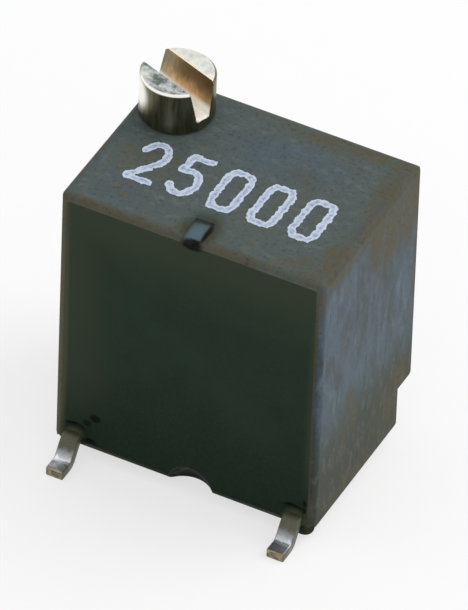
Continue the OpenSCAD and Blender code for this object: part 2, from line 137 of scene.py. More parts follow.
def combine(target, tools, operation="DIFFERENCE"):
    # cuts or adds each tool in turn, and leaves the result as plain mesh; it is worked out in
    # millimetres, as the solver would merge points at real sizes this small
    grow, shrink = Matrix.Scale(1 / mm, 4), Matrix.Scale(mm, 4)
    target.data.transform(grow)
    for tool in tools:
        tool.data.transform(grow)
        change = target.modifiers.new("change", "BOOLEAN")
        change.operation, change.solver, change.object = operation, "EXACT", tool
        graph = bpy.context.evaluated_depsgraph_get()
        result = bpy.data.meshes.new_from_object(target.evaluated_get(graph))
        target.modifiers.clear()
        target.data = result
        bpy.data.objects.remove(tool)
    target.data.transform(shrink)
    return target


def soften(obj, width, segments, sharperThan, where):
    # rounds the sharp edges whose middle is in the given place
    samePlace, flatDeg = 1e-7, 0.5   # points nearer than this are one, and faces this flat to each other too
    bm = bmesh.new()
    bm.from_mesh(obj.data)
    bmesh.ops.remove_doubles(bm, verts=bm.verts, dist=samePlace)
    bmesh.ops.dissolve_limit(bm, angle_limit=math.radians(flatDeg), verts=bm.verts, edges=bm.edges)
    edges = [e for e in bm.edges if len(e.link_faces) == 2
             and e.calc_face_angle(0) > math.radians(sharperThan)
             and where((e.verts[0].co + e.verts[1].co) / 2 / mm)]
    bmesh.ops.bevel(bm, geom=edges, offset=width * mm, segments=segments, profile=0.5,
                    affect="EDGES", clamp_overlap=True)
    bm.to_mesh(obj.data)
    bm.free()
    return obj


def finishPiece(obj, body, sharpDeg, node=None):
    # smooth shading up to the given angle, then the piece's place in the frame
    obj.data.shade_smooth()
    obj.data.set_sharp_from_angle(angle=math.radians(sharpDeg))
    even = obj.modifiers.new("evenNormals", "WEIGHTED_NORMAL")
    even.keep_sharp = True
    if node:
        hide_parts(node)
    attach(obj, body)
    return obj


def addNode(tree, kind, inputs=(), **settings):
    # one node with its settings; its inputs come in the order of its sockets, or in a dictionary by name,
    # and each is a value, a hex colour, a socket, or a node, which stands for its first output
    node = tree.nodes.new("ShaderNode" + kind)
    for key, value in settings.items():
        setattr(node, key, value)
    sockets = [s for s in node.inputs if s.enabled]
    if isinstance(inputs, dict):
        pairs = [(next(s for s in sockets if s.name == name), value) for name, value in inputs.items()]
    else:
        pairs = zip(sockets, inputs)
    for socket, value in pairs:
        if isinstance(value, bpy.types.Node):
            value = next(s for s in value.outputs if s.enabled)
        if isinstance(value, bpy.types.NodeSocket):
            tree.links.new(value, socket)
        else:
            socket.default_value = linearColor(value) if isinstance(value, str) else value
    return node


def newMaterial(name):
    # an empty material, addNode for its own tree, and the position on the piece in millimetres
    material = bpy.data.materials.new(name)
    material.use_nodes = True
    material.node_tree.nodes.clear()
    add = partial(addNode, material.node_tree)
    return material, add, add("VectorMath", [add("TexCoord").outputs["Object"], 1 / mm], operation="SCALE")


def finishMaterial(material, add, color, rough, bumps, **own):
    # the shader and the output; each bump is a height, its strength, and its depth in millimetres
    names = {"metal": "Metallic", "ior": "IOR", "gloss": "Specular IOR Level"}
    normal = {}
    for height, strength, deep in bumps:
        bump = {"Height": height, "Strength": strength, "Distance": deep * mm}
        normal = {"Normal": add("Bump", {**bump, **normal})}
    inputs = {"Base Color": color, "Roughness": rough, **normal, **{names[key]: own[key] for key in own}}
    add("OutputMaterial", {"Surface": add("BsdfPrincipled", inputs)})
    return material


def joined(add, operation, value, *others):
    for other in others:
        value = add("Math", [value, other], operation=operation)
    return value


def layered(add, color, *layers):
    # each layer is a mask, and the colour that it lays over what is there
    for mask, over in layers:
        color = add("Mix", [mask, color, over], data_type="RGBA")
    return color


smooth = {"interpolation_type": "SMOOTHSTEP"}


def spotMask(add, spot, places):
    # how near a point is to the given places: each is a centre, a size along each axis, and a strength
    fullTo = 0.45   # the strength holds over this share of the size, and then falls away
    masks = []
    for center, size, strength in places:
        off = add("VectorMath", [spot, center], operation="SUBTRACT")
        scaled = add("VectorMath", [off, [1 / s for s in size]], operation="MULTIPLY")
        away = add("VectorMath", [scaled], operation="LENGTH")
        masks.append(add("MapRange", [away, fullTo, 1.0, strength, 0.0], **smooth))
    return joined(add, "MAXIMUM", *masks)


def paint(obj, *materials):
    obj.data.materials.clear()
    for material in materials:
        obj.data.materials.append(material)


# places that the CAD fixes, in millimetres
caseLow, caseHigh = cadSpan("housing")
fillLow, fillHigh = cadSpan("front_potting")
plateLow, plateHigh = cadSpan("element_substrate")
clipLow, clipHigh = cadSpan("solder_joint_1")
screwLow, screwHigh = cadSpan("adjustment_screw")
seatY, headTop = cadSpan("resistive_track")[1].y, screwHigh.z
joints = {j["name"]: Vector(j["pos_m"]) / mm for j in frame["record"]["behaviour"]["joints"]}
screwAt, axisZ = joints["screw_turn"], joints["rotor_turn"].z
frontY, rearY, topZ, baseZ = caseLow.y, caseHigh.y, caseHigh.z, caseLow.z

lead = {
    "w": 0.44, "t": 0.24,
    "x": 2.84,           # middle of an outer lead, from the middle of the case
    "clipX": 2.58,       # middle of its clip inside
    "z": baseZ + 0.28,   # middle of a lead where it leaves the case
    "slope": 54, "bendR": 0.09, "out": 0.02, "reach": 0.93,
    "edge": 0.04,        # the stamping left these edges round
    "gap": 0.02,         # between a lead and the case
    "webT": 0.14, "fingerHigh": 0.45,   # its strap under the ceramic plate, and the finger that it grips with
}
# how far out its foot starts, along two bends and the slope between them
lead["mid"] = lead["bendR"] + lead["t"] / 2
slopeSin, slopeCos = (f(math.radians(lead["slope"])) for f in (math.sin, math.cos))
slopeLong = (lead["z"] - lead["t"] / 2 - 2 * lead["mid"] * (1 - slopeCos)) / slopeSin
lead["heel"] = lead["out"] + 2 * lead["mid"] * slopeSin + slopeLong * slopeCos

case = {
    "edge": 0.17, "edgeSteps": 6,        # radius of the moulded edges, and their facets
    "stepDeep": 0.65, "stepHigh": 1.08,  # step along the rear underside
    "trayDeep": 0.2, "trayCorner": 0.08,
    "wellSide": 0.1, "wellBelow": 0.3,   # room round the ceramic plate, and below it
    "wellCorner": 0.2,
    "pocketR": 2.15, "pocketRear": 0.6, "boreR": 0.53, "journalR": 0.27, "sealR": 0.67, "sealDeep": 0.45,
    "journalRoom": 0.06, "journalHigh": 0.47,   # under the screw's foot, and up to the bore's shoulder
    "spindleR": 0.42, "spindleTip": 0.15, "bossY": 1.78,
    "retainer": (0.625, 1.425, 1.175),   # half width, and depths of its slot below the case's top
    "retainerRun": 0.5,                  # how far its slot runs beyond the screw's axis
    "finger": (0.16, 0.47),              # room for a clip's finger: depth, and height above the plate's foot
}

scoop = {
    "x": -0.08, "w": 0.38, "long": 0.74, "heel": 0.08, "deep": 0.15, "lean": 1.3,
    "notch": 0.2, "notchLong": 0.17, "round": 0.03,
    "lowX": 0.17, "lowOut": 0.3, "lowR": 0.66, "lowRound": 0.02, "sharp": 35,
}


def scoopTools():
    # the flat gouge in the top edge with the notch in front of it, and the ball that shapes the lower one
    s = scoop
    half = s["w"] / 2
    sides = [(-half, 0), (half, 0), (half + s["lean"], past), (-half, past)]
    slide = prism("gouge", sides, -2 * s["long"], 0, "y")
    fall = math.atan((s["deep"] - s["heel"]) / s["long"])
    start = Vector((s["x"], frontY + s["long"], topZ - s["heel"])) * mm
    slide.data.transform(Matrix.Translation(start) @ Matrix.Rotation(fall, 4, "X"))
    vee = [(-half, past), (-half, -s["heel"]), (half / 2, -s["notch"]), (half, -s["deep"]),
           (half + s["lean"], past)]
    vee = [(s["x"] + u, topZ + v) for u, v in vee]
    notch = prism("notch", vee, frontY - past, frontY + s["notchLong"], "y")
    low = ball("lowScoop", (s["lowX"], frontY - s["lowOut"], baseZ), (s["lowR"],) * 3)
    return [slide, notch, low]


def wellPrism(front, rear):
    c = case
    low, high = plateLow.z - c["wellBelow"], plateHigh.z + c["wellSide"]
    w = plateHigh.x - plateLow.x + 2 * c["wellSide"]
    return prism("well", roundRect(w, high - low, c["wellCorner"], (low + high) / 2), front, rear, "y")


def makeCase():
    c, l = case, lead
    stepY, stepZ = rearY - c["stepDeep"], baseZ + c["stepHigh"]
    side = [(frontY, baseZ), (stepY, baseZ), (stepY, stepZ), (rearY, stepZ), (rearY, topZ), (frontY, topZ)]
    shell = prism("moulded_case", side, caseLow.x, caseHigh.x, "x")
    bm = bmesh.new()
    bm.from_mesh(shell.data)
    inner = Vector((0, stepY, stepZ)) * mm
    outer = [e for e in bm.edges if any((v.co - inner).yz.length > 0.01 * mm for v in e.verts)]
    bmesh.ops.bevel(bm, geom=outer, offset=c["edge"] * mm, segments=c["edgeSteps"], profile=0.5,
                    affect="EDGES", clamp_overlap=True, miter_inner="ARC")
    bm.to_mesh(shell.data)
    bm.free()

    wellLow = plateLow.z - c["wellBelow"]
    middle = (fillHigh.z + fillLow.z) / 2
    tray = prism("tray", roundRect(fillHigh.x - fillLow.x, fillHigh.z - fillLow.z, c["trayCorner"], middle),
                 frontY - past, frontY + c["trayDeep"], "y")
    pocket = prism("pocket", disc(c["pocketR"], axisZ, 96), seatY - 2 * lap, rearY - c["pocketRear"], "y")
    sealZ, wormZ = topZ - c["sealDeep"], screwLow.z + c["journalHigh"]
    bore = turned("bore", [(screwLow.z - c["journalRoom"], c["journalR"]), (wormZ, c["journalR"]),
                           (wormZ, c["boreR"]), (sealZ, c["boreR"]), (sealZ, c["sealR"]),
                           (topZ + past, c["sealR"])], screwAt, 64)
    wide, low, high = c["retainer"]
    cuts = [wellPrism(frontY - past, seatY), tray, pocket, bore,
            block("retainerSlot", screwAt.x - wide, screwAt.x + wide, seatY - 2 * lap,
                  screwAt.y + c["retainerRun"], topZ - low, topZ - high)]
    gap, t = l["gap"], l["t"]
    half, under, back = l["w"] / 2 + gap, l["z"] - t / 2 - gap, plateLow.y
    for at, clipAt in ((-l["x"], -l["clipX"]), (0, 0), (l["x"], l["clipX"])):
        if at:
            cuts.append(block("leadSlot", at - half, at + half, frontY - past, back, under, wellLow + lap))
        else:
            over = l["z"] + t / 2 + gap
            cuts.append(block("tunnel", -half, half, back - t - gap, rearY + past, under, over))
        deep, high = c["finger"]
        left, right = clipAt - half, clipAt + half
        cuts += [block("plateRoom", left, right, back - t - gap, back, under, wellLow + lap),
                 block("fingerRoom", left, right, seatY - lap, seatY + deep, wellLow, plateLow.z + high)]
    combine(shell, [*cuts, *scoopTools()])
    wall = rearY - c["pocketRear"] + lap
    combine(shell, [prism("spindle", disc(c["spindleR"], axisZ), c["spindleTip"], wall, "y"),
                    prism("boss", disc(2 * c["spindleR"], axisZ), c["bossY"], wall, "y")], "UNION")
    # the gouge and the lower scoop have worn rims
    s = scoop
    soften(shell, s["round"], 3, s["sharp"],
           lambda p: p.z > topZ - 0.15 and abs(p.x) < 0.6 and p.y > frontY + 0.01)
    soften(shell, s["lowRound"], 2, s["sharp"],
           lambda p: p.z < baseZ + 0.1 and p.y < frontY + 0.5 and abs(p.x) < 1)
    return finishPiece(shell, "case", 40, "housing")


moulding = {
    "grey": "#4E5856", "sheenBlue": "#475863", "low": "#30362B", "olive": "#545040", "pale": "#75848D",
    "dark": "#1E2019", "floorSheen": "#516A76", "shadeTone": "#0A0B08", "ior": 1.5, "gloss": 0.1,
    # flow patches, streaks down the flanks, filler's flecks, pits and grain: how each is drawn out,
    # millimetres across, then the noise's detail, roughness, the step between its layers, and distortion
    "marks": [((0.55, 1.0, 0.36), 0.9, 5.0, 0.65, 2.0, 0.5), ((1.0, 1.0, 0.32), 0.4, 4.0, 0.6, 2.0, 0.6),
              ((0.55, 1.0, 0.36), 0.2, 5.0, 0.75), ((1, 1, 1), 0.096, 3.0, 0.6), ((1, 1, 1), 0.06, 4.0, 0.6)],
    "flank": (caseHigh.x - 0.3, caseHigh.x - 0.05),
    "blueFrom": (1.7, 4.0),   # the flanks turn from olive grey to a painted blue grey sheen between these heights
    # a range of a pattern or a mask, and what it becomes
    "runTone": (0.36, 0.68, 0.0, 0.6), "edgeTone": (0.03, 0.3, 0.62, 0.0), "brownTone": (0.0, 0.95),
    "paleTone": (0.52, 0.75, 0.0, 0.55), "skinShare": (0.0, 1.0, 1.0, 0.2), "pitTone": (0.28, 0.46, 0.4, 0.0),
    "rough": (0.0, 1.0, 0.42, 0.6),
    "flowShift": (1.8, -0.9), "fleckShift": (2.4, -1.2),   # how patches and flecks break up the brown
    "grainBump": (0.3, 0.006), "flowBump": (0.5, 0.02),
    # where the filler shows most: place, size along each axis, strength
    "brown": [((3.35, 1.3, 7.25), (0.9, 2.0, 2.0), 0.75), ((3.35, -1.2, 7.65), (0.8, 1.7, 0.75), 0.6),
              ((3.35, 2.45, 4.6), (0.8, 0.4, 2.8), 0.55), ((3.35, 1.5, 1.3), (0.9, 1.4, 1.4), 0.34),
              ((3.35, -0.9, 0.4), (0.9, 2.6, 0.9), 0.4), ((3.35, -0.9, 2.6), (0.6, 0.7, 1.3), 0.5),
              ((-0.1, -2.3, 7.7), (0.8, 0.6, 0.3), 0.7), ((1.2, 2.45, 7.7), (2.8, 0.85, 0.4), 0.5),
              ((0.0, -2.45, 7.7), (3.9, 0.3, 0.3), 0.7), ((2.6, -2.2, 7.7), (1.2, 0.8, 0.3), 0.5),
              ((1.1, -1.8, 7.7), (1.3, 0.8, 0.3), 0.34), ((0.1, -1.85, 7.75), (0.5, 0.55, 0.12), 0.8),
              ((-3.35, -2.45, 4.0), (0.35, 0.35, 9.0), 1.3), ((3.35, 1.5, 1.7), (0.6, 1.0, 0.9), 0.6),
              ((3.17, -2.45, 4.0), (0.13, 0.3, 5.5), 0.95), ((-1.7, -2.48, 7.56), (2.6, 0.16, 0.2), 1.3),
              ((-2.2, -1.0, 7.7), (1.3, 1.6, 0.3), 0.22), ((1.8, 0.6, 7.7), (1.9, 1.4, 0.3), 0.2)],
    # where the edges kept their skin, so that the painted blue grey sheen shows on the front right rounding
    "kept": [((3.42, -2.45, 3.4), (0.32, 0.6, 4.4), 0.8)],
    # where a painted sheen makes the skin bluer on top
    "sheenPatches": [((0.6, 1.0, 7.7), (2.1, 0.9, 0.3), 0.5), ((-2.3, -1.7, 7.7), (0.8, 0.7, 0.3), 0.5)],
    # a painted reflection: the gouge's floor is painted pale blue grey, as it faces the light overhead
    "floor": [((scoop["x"], frontY + scoop["long"] / 2 + 0.05, topZ - scoop["deep"] + 0.02),
               (0.3, 0.62, 0.06), 0.85)],
    # painted shade where shadow falls: in the notch, on the gouge's right wall, in the lower scoop, along the
    # foot and in a strip down the front right edge
    "shadedPlaces": [((0.0, -2.42, 7.56), (0.36, 0.22, 0.17), 1.0), ((0.22, -2.02, 7.63), (0.17, 0.5, 0.14), 1.0),
              ((0.02, -2.0, 7.71), (0.64, 0.78, 0.075), 0.5),
              ((0.17, -2.3, 0.3), (0.75, 0.7, 0.66), 1.0), ((0.0, -2.45, 0.25), (4.2, 0.42, 0.42), 0.95),
              ((3.3, -2.3, 0.3), (0.45, 0.7, 0.75), 0.32), ((3.18, -2.45, 3.6), (0.14, 0.3, 4.6), 0.4)],
}


def edgeNearness(add, spot):
    # distance from the nearest edge of the block, in millimetres
    parts = add("SeparateXYZ", [spot])
    near = []
    for axis, low, high in zip("XYZ", caseLow, caseHigh):
        off = add("Math", [parts.outputs[axis], (low + high) / 2], operation="SUBTRACT")
        size = add("Math", [off], operation="ABSOLUTE")
        near.append(add("Math", [(high - low) / 2, size], operation="SUBTRACT"))
    # an edge is as far as the second nearest of the three pairs of faces
    nearer, farther = (add("Math", near[:2], operation=o) for o in ("MINIMUM", "MAXIMUM"))
    return joined(add, "MAXIMUM", nearer, joined(add, "MINIMUM", farther, near[2]))


def mouldedThermoset():
    # mineral-filled thermoset, compression moulded: grey where the skin is rich in resin, olive brown in
    # patches and along the edges where the filler shows, with a dull sheen; the blue grey up the flanks and
    # in patches on top is a painted sheen, and painted shade darkens the notch, the gouge's right wall, the
    # lower scoop and the foot
    m = moulding
    material, add, spot = newMaterial("mouldedThermoset")
    flow, run, fine, pit, grain = (
        add("TexNoise", [add("VectorMath", [spot, drawn], operation="MULTIPLY"), 1 / size, *look])
        for drawn, size, *look in m["marks"])
    parts = add("SeparateXYZ", [spot])
    flank = add("MapRange", [add("Math", [parts.outputs["X"]], operation="ABSOLUTE"), *m["flank"]])
    up = add("MapRange", [parts.outputs["Z"], *m["blueFrom"]], **smooth)
    # painted sheen: blue grey up the flanks and in patches on top
    streaked = layered(add, m["sheenBlue"], (add("MapRange", [run, *m["runTone"]], **smooth), m["low"]))
    skinAndSheen = layered(add, m["grey"], (spotMask(add, spot, m["sheenPatches"]), m["sheenBlue"]),
                   (flank, layered(add, m["low"], (up, streaked))))

    edgeTone = add("MapRange", [edgeNearness(add, spot), *m["edgeTone"]], **smooth)
    rubbedAndHighlight = joined(add, "MAXIMUM", edgeTone, spotMask(add, spot, m["brown"]))
    worn = add("Math", [rubbedAndHighlight, spotMask(add, spot, m["kept"])], operation="SUBTRACT", use_clamp=True)
    for pattern, shift in ((flow, m["flowShift"]), (fine, m["fleckShift"])):
        worn = joined(add, "ADD", worn, add("Math", [pattern, *shift], operation="MULTIPLY_ADD"))
    brown = add("MapRange", [worn, *m["brownTone"]], **smooth)
    flecked = joined(add, "MULTIPLY", add("MapRange", [fine, *m["paleTone"]]),
                     add("MapRange", [brown, *m["skinShare"]]))
    # the gouge's floor carries a painted reflection, and the recesses painted shade
    pitted, floorSheen = add("MapRange", [pit, *m["pitTone"]]), spotMask(add, spot, m["floor"])
    color = layered(add, skinAndSheen, (brown, m["olive"]), (flecked, m["pale"]), (pitted, m["dark"]),
                    (floorSheen, m["floorSheen"]), (spotMask(add, spot, m["shadedPlaces"]), m["shadeTone"]))
    rough = add("MapRange", [brown, *m["rough"]])
    return finishMaterial(material, add, color, rough, [(grain, *m["grainBump"]), (flow, *m["flowBump"])],
                          ior=m["ior"], gloss=m["gloss"])


shell = makeCase()
paint(shell, mouldedThermoset())
print("case made:", len(shell.data.polygons), "faces")

resin = {
    "recess": 0.008, "climb": 0.006, "climbW": 0.06,   # how far its face lies below the rim, and creeps up it
    "cells": (130, 142), "crowd": 0.35,                # cells of its face, and how much they crowd to the rim
    "waves": [(0.010, 0.7, 3.1), (0.004, 2.3, 7.7)],   # height, waves per millimetre, and where in the noise
    "ragged": (0.5, 9, 1.3),                           # the same for the hollows' edges
    # hollows and pits: x, height above the case's underside, half width, half height, depth
    "pits": [(-2.88, 0.54, 0.19, 0.10, 0.10), (-2.72, 0.54, 0.12, 0.08, 0.08), (2.73, 0.52, 0.17, 0.09, 0.10),
             (2.91, 0.50, 0.13, 0.07, 0.07), (-2.30, 1.00, 0.16, 0.10, 0.05), (-2.46, 0.27, 0.22, 0.08, 0.05),
             (3.07, 0.77, 0.05, 0.07, 0.05), (3.05, 0.54, 0.06, 0.08, 0.06)],
    "collar": 0.08, "collarW": 0.09,                   # it climbed along the leads by this much
    "bead": ((2.99, 2.32, 0.36), (0.31, 0.15, 0.31)),  # a bead that hung at the lower right corner and set
}


def makeResin():
    c, l, r = case, lead, resin
    w, h = fillHigh.x - fillLow.x, fillHigh.z - fillLow.z
    midZ = (fillHigh.z + fillLow.z) / 2
    cols, rows = r["cells"]
    back, corner = frontY + c["trayDeep"], c["trayCorner"]

    def spread(t):
        # cells crowd towards the rim, where the face curves up
        return r["crowd"] * math.sin((t - 0.5) * math.pi) + (1 - r["crowd"]) * 2 * (t - 0.5)

    def facePoint(i, k):
        x, z = spread(i / cols) * w / 2, spread(k / rows) * h / 2
        dx, dz = abs(x) - (w / 2 - corner), abs(z) - (h / 2 - corner)
        if dx > 0 and dz > 0:
            # square corners are drawn in to the tray's round ones
            shrink = max(dx, dz) / math.hypot(dx, dz)
            x = math.copysign(w / 2 - corner + dx * shrink, x)
            z = math.copysign(h / 2 - corner + dz * shrink, z)
        wall = min(w / 2 - abs(x), h / 2 - abs(z))
        y = frontY + r["recess"] - r["climb"] * math.exp(-wall / r["climbW"])
        y += sum(tall * noise.noise((x * often, seed, z * often)) for tall, often, seed in r["waves"])
        z += midZ
        up = z - baseZ
        amount, often, seed = r["ragged"]
        ragged = 1 + amount * noise.noise((x * often, seed, z * often))
        for px, pz, wide, high, deep in r["pits"]:
            y += deep * math.exp(-(((x - px) / wide) ** 2 + ((up - pz) / high) ** 2) * ragged)
        gapX = max(0, abs(abs(x) - l["x"]) - l["w"] / 2)
        gapZ = max(0, l["z"] - l["t"] / 2 - z, z - l["z"])
        y -= r["collar"] * math.exp(-(gapX * gapX + gapZ * gapZ) / r["collarW"] ** 2)
        return Vector((x, y, z)) * mm

    bm = bmesh.new()
    face = [[bm.verts.new(facePoint(i, k)) for k in range(rows + 1)] for i in range(cols + 1)]
    for i in range(cols):
        for k in range(rows):
            bm.faces.new((face[i][k], face[i + 1][k], face[i + 1][k + 1], face[i][k + 1]))
    loop = ([face[i][0] for i in range(cols)] + [face[cols][k] for k in range(rows)]
            + [face[i][rows] for i in range(cols, 0, -1)] + [face[0][k] for k in range(rows, 0, -1)])
    rear = [bm.verts.new((v.co.x, back * mm, v.co.z)) for v in loop]
    for i in range(len(loop)):
        bm.faces.new((loop[i - 1], rear[i - 1], rear[i], loop[i]))
    bm.faces.new(rear)
    bmesh.ops.recalc_face_normals(bm, faces=bm.faces)
    fill = meshObject("resin_fill", bm)
    (bx, by, bz), radii = r["bead"]
    combine(fill, [wellPrism(back - 0.02, plateHigh.y), ball("bead", (bx, -by, bz), radii)], "UNION")
    # room for the ceramic plate, the clips and the leads
    low, high, half, t, touch = plateLow, plateHigh, l["w"] / 2, l["t"], 0.01
    room = [block("plate", low.x, high.x, low.y, high.y + 2 * lap, low.z, high.z)]
    for at in (-l["clipX"], 0, l["clipX"]):
        left, right = at - half, at + half
        room += [block("clip", left, right, low.y - t, low.y + touch, baseZ, clipHigh.z),
                 block("web", left, right, low.y - touch, high.y + 2 * lap, low.z - l["webT"], low.z + touch)]
    for at in (-l["x"], l["x"]):
        room.append(block("lead", at - half, at + half, frontY - past, low.y, l["z"] - t / 2, l["z"] + t / 2))
    combine(fill, [*room, *scoopTools()])
    return finishPiece(fill, "case", 40, "front_potting")


epoxy = {
    "green": "#1F3025", "deep": "#19271D", "low": "#122016", "olive": "#383D30", "dust": "#2E3E31",
    "hollowDark": "#060805", "film": "#4A4B36", "ior": 1.5, "gloss": 0.06,
    "cloud": 1.6, "mote": 0.09,   # millimetres across the clouds and the dust
    # a range of a pattern or a height, and what it becomes
    "cloudTone": (0.35, 0.68), "lowShadeRange": (0.6, 3.8, 1.0, 0.0), "dustTone": (0.35, 0.72, 0.0, 0.3),
    "rough": (0.2, 0.8, 0.46, 0.62), "bump": (0.2, 0.005),
    # it turns olive along the left, the right and the top, but not low down: an axis, from where to where
    # along it, and how olive it is at each
    "thin": [("X", fillLow.x, -1.2, 0.7, 0.0), ("X", fillHigh.x - 0.22, fillHigh.x, 0.0, 0.6),
             ("Z", 5.2, fillHigh.z, 0.0, 0.75), ("Z", baseZ + 0.3, baseZ + 2.5, 0.15, 1.0)],
    # painted shade in the hollows round the leads, in the notch's mouth, in the lower scoop and at the lower
    # right
    # corner: place, size along each axis, strength
    "hollowShade": [((-2.8, -2.45, 0.9), (0.34, 0.3, 0.12), 0.85), ((-2.3, -2.45, 1.3), (0.2, 0.2, 0.16), 0.9),
               ((-2.5, -2.45, 1.1), (0.16, 0.2, 0.12), 0.8), ((-2.44, -2.45, 0.58), (0.26, 0.2, 0.1), 0.8),
               ((2.76, -2.45, 0.88), (0.28, 0.3, 0.12), 0.9), ((3.08, -2.45, 1.07), (0.07, 0.2, 0.14), 0.9),
               ((3.06, -2.45, 0.84), (0.08, 0.2, 0.12), 0.8), ((0.0, -2.45, 7.5), (0.34, 0.2, 0.16), 1.0),
               ((0.17, -2.45, 0.3), (0.66, 0.4, 0.62), 0.8), ((3.1, -2.35, 0.25), (0.35, 0.3, 0.3), 0.25)],
    # it is a brownish film where it crept along the leads and up to the left rim
    "films": [((-2.84, -2.5, 0.62), (0.34, 0.3, 0.24), 0.85), ((2.84, -2.5, 0.62), (0.34, 0.3, 0.24), 0.85),
              ((3.2, -2.45, 0.6), (0.2, 0.3, 0.5), 0.5), ((-3.22, -2.45, 3.9), (0.22, 0.3, 6.6), 0.8)],
}


def pottedEpoxy():
    # green epoxy, poured and cured: a smooth dull skin, with painted shade towards the bottom and in the
    # hollows round the leads
    e = epoxy
    material, add, spot = newMaterial("pottedEpoxy")
    cloud = add("TexNoise", [spot, 1 / e["cloud"], 3.0, 0.55])
    dust = add("TexNoise", [spot, 1 / e["mote"], 3.0, 0.7])
    parts = add("SeparateXYZ", [spot])
    left, right, top, low = (add("MapRange", [parts.outputs[a], *span], **smooth) for a, *span in e["thin"])
    sides = joined(add, "MULTIPLY", joined(add, "MAXIMUM", left, right), low)
    # painted shade: the face darkens towards the bottom
    shadedLow = add("MapRange", [parts.outputs["Z"], *e["lowShadeRange"]], **smooth)
    # painted shade in the hollows
    filmed, hollowShaded = spotMask(add, spot, e["films"]), spotMask(add, spot, e["hollowShade"])
    color = layered(add, e["green"], (add("MapRange", [cloud, *e["cloudTone"]]), e["deep"]),
                    (shadedLow, e["low"]), (joined(add, "MAXIMUM", sides, top), e["olive"]),
                    (add("MapRange", [dust, *e["dustTone"]]), e["dust"]), (filmed, e["film"]),
                    (hollowShaded, e["hollowDark"]))
    rough = add("MapRange", [dust, *e["rough"]])
    return finishMaterial(material, add, color, rough, [(dust, *e["bump"])], ior=e["ior"], gloss=e["gloss"])


fill = makeResin()
paint(fill, pottedEpoxy())
print("resin made:", len(fill.data.polygons), "faces")

screw = {
    "headGap": 0.04, "headR": 0.88, "rimCut": 0.06,
    "slotW": 0.72, "slotFloorW": 0.36, "slotDeep": 0.87, "slotRound": 0.12, "slotTurn": -20,
    "shankR": 0.5, "neckR": 0.38, "grooveR": 0.34, "grooveHalf": 0.125, "grooveDown": 1.3, "journalR": 0.24,
    "journalLong": 0.5, "wormLong": 2.4, "rootR": 0.27, "pitchR": 0.40, "pitch": 0.825, "flank": 20,
    "backlash": 0.04, "relief": 0.15, "break": 0.03, "slotBreak": 0.018, "sealGap": 0.03,
    "columns": 160, "turns": 150,        # facets round it, and rows along the worm
    "rings": 24, "ringDeep": 0.0012,     # faint rings that the turning tool left down the head's side
}

screwTones = {
    # the side's dark streaked tones are a painted reflection of the case's top; the pale rim and side patch
    # are painted highlights
    "side": ("#84806A", "#57543E"), "top": ("#F1F0E8", "#CDD0C9"), "near": ("#C6CBC9", "#646C6B"),
    "bright": "#F4F3EA", "cream": "#F6E8CC", "wall": ("#A89877", "#8D7A58"), "golden": ("#EDC99C", "#D6AD7E"),
    "oiled": "#6F6F5A", "floor": "#FFFDF6",
    "streak": 0.16, "scuff": 0.19, "saw": 0.09,   # millimetres across the marks
    "upright": (1, 1, 0.12), "sawn": (1, 1, 0.15),
    # a range of the marks, and what it becomes
    "streakTone": (0.36, 0.64), "scuffTone": (0.36, 0.62), "nearTone": (0.4, 0.6), "sawTone": (0.2, 0.8),
    "onTop": (-0.02, -0.005), "rimDown": (-0.06, -0.045),   # heights from the head's top
    "frontFrom": (0.0, -0.1), "creamFrom": (0.03, 0.08, 0.85, 0.0),   # from the slot's middle and its wall
    "rimIn": (-0.062, -0.046), "rimFrom": (-0.78, -0.66),   # from the head's side, and its middle along X
    "flashRough": (0.0, 1.0, 0.36, 0.2), "flashBump": (0.35, 0.004),
    # a painted highlight on the head's left side: place from the screw's middle and the head's top, size,
    # strength
    "rubbedAndHighlight": ((-0.68, -0.54, -0.38), (0.52, 0.52, 0.56), 1.0),
    # heights above the slot's floor, and places from the screw's middle along X
    "oilEnds": (0.45, 0.9, 1.0, 0.0), "waver": 0.5, "floorReflection": (0.12, 0.3, 1.0, 0.0),
    "leftEnd": (-0.75, -0.2, 0.75, 0.0), "rightEnd": (0.35, 0.8, 0.0, 0.6),
    "bare": (0.0, 1.0, 1.0, 0.25), "sawRough": (0.3, 0.7, 0.3, 0.45), "sawBump": (0.3, 0.003),
}


def slotSection():
    # across the slot: u from its middle, v down from the head's top, with round corners at the floor
    s = screw
    lean = math.atan((s["slotW"] - s["slotFloorW"]) / 2 / s["slotDeep"])
    r = s["slotRound"]
    u = s["slotFloorW"] / 2 - r / math.tan(math.pi / 4 + lean / 2)
    corner = arc(u, r - s["slotDeep"], r, -90, -math.degrees(lean), 8)
    mouth = s["slotW"] / 2
    above = [(mouth, 0), (mouth, past), (-mouth, past), (-mouth, 0)]
    return corner + above + [(-a, b) for a, b in reversed(corner)]


